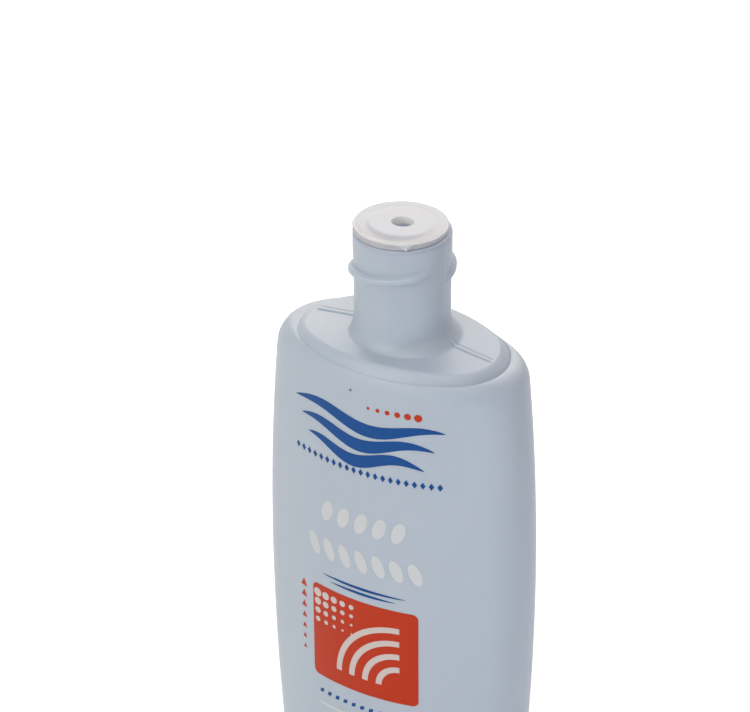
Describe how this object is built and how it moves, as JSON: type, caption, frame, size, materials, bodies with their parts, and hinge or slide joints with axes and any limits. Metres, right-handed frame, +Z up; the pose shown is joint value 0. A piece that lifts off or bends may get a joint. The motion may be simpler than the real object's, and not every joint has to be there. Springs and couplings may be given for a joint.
{
  "type": "squeeze bottle",
  "caption": "Flat oval squeeze bottle for sun lotion, stepped shoulder, screw neck without its cap, dispensing plug pressed into the neck, part full.",
  "frame": {"origin": "middle of the base, at the level of the ring it stands on", "axes": "+Z up along the neck's axis, +X along the body's width to the right as seen from the front, -Y towards the printed front"},
  "size_m": [0.054, 0.03, 0.1182],
  "materials": {
    "bottle_plastic": "satin, pale grey-blue, slightly translucent",
    "lotion": "wet, off-white",
    "natural_plastic": "satin, natural and slightly translucent",
    "seal_film": "thin clear film, torn"
  },
  "bodies": {
    "bottle": {"bottle": "bottle_plastic", "lotion": "lotion"},
    "reducer": {"orifice_reducer": "natural_plastic", "seal_film_remnant": "seal_film"}
  },
  "joints": [
    {"name": "reducer_pull", "type": "slide", "parent": "bottle", "child": "reducer", "axis": [0, 0, 1], "range_m": [0, 0.02]}
  ]
}
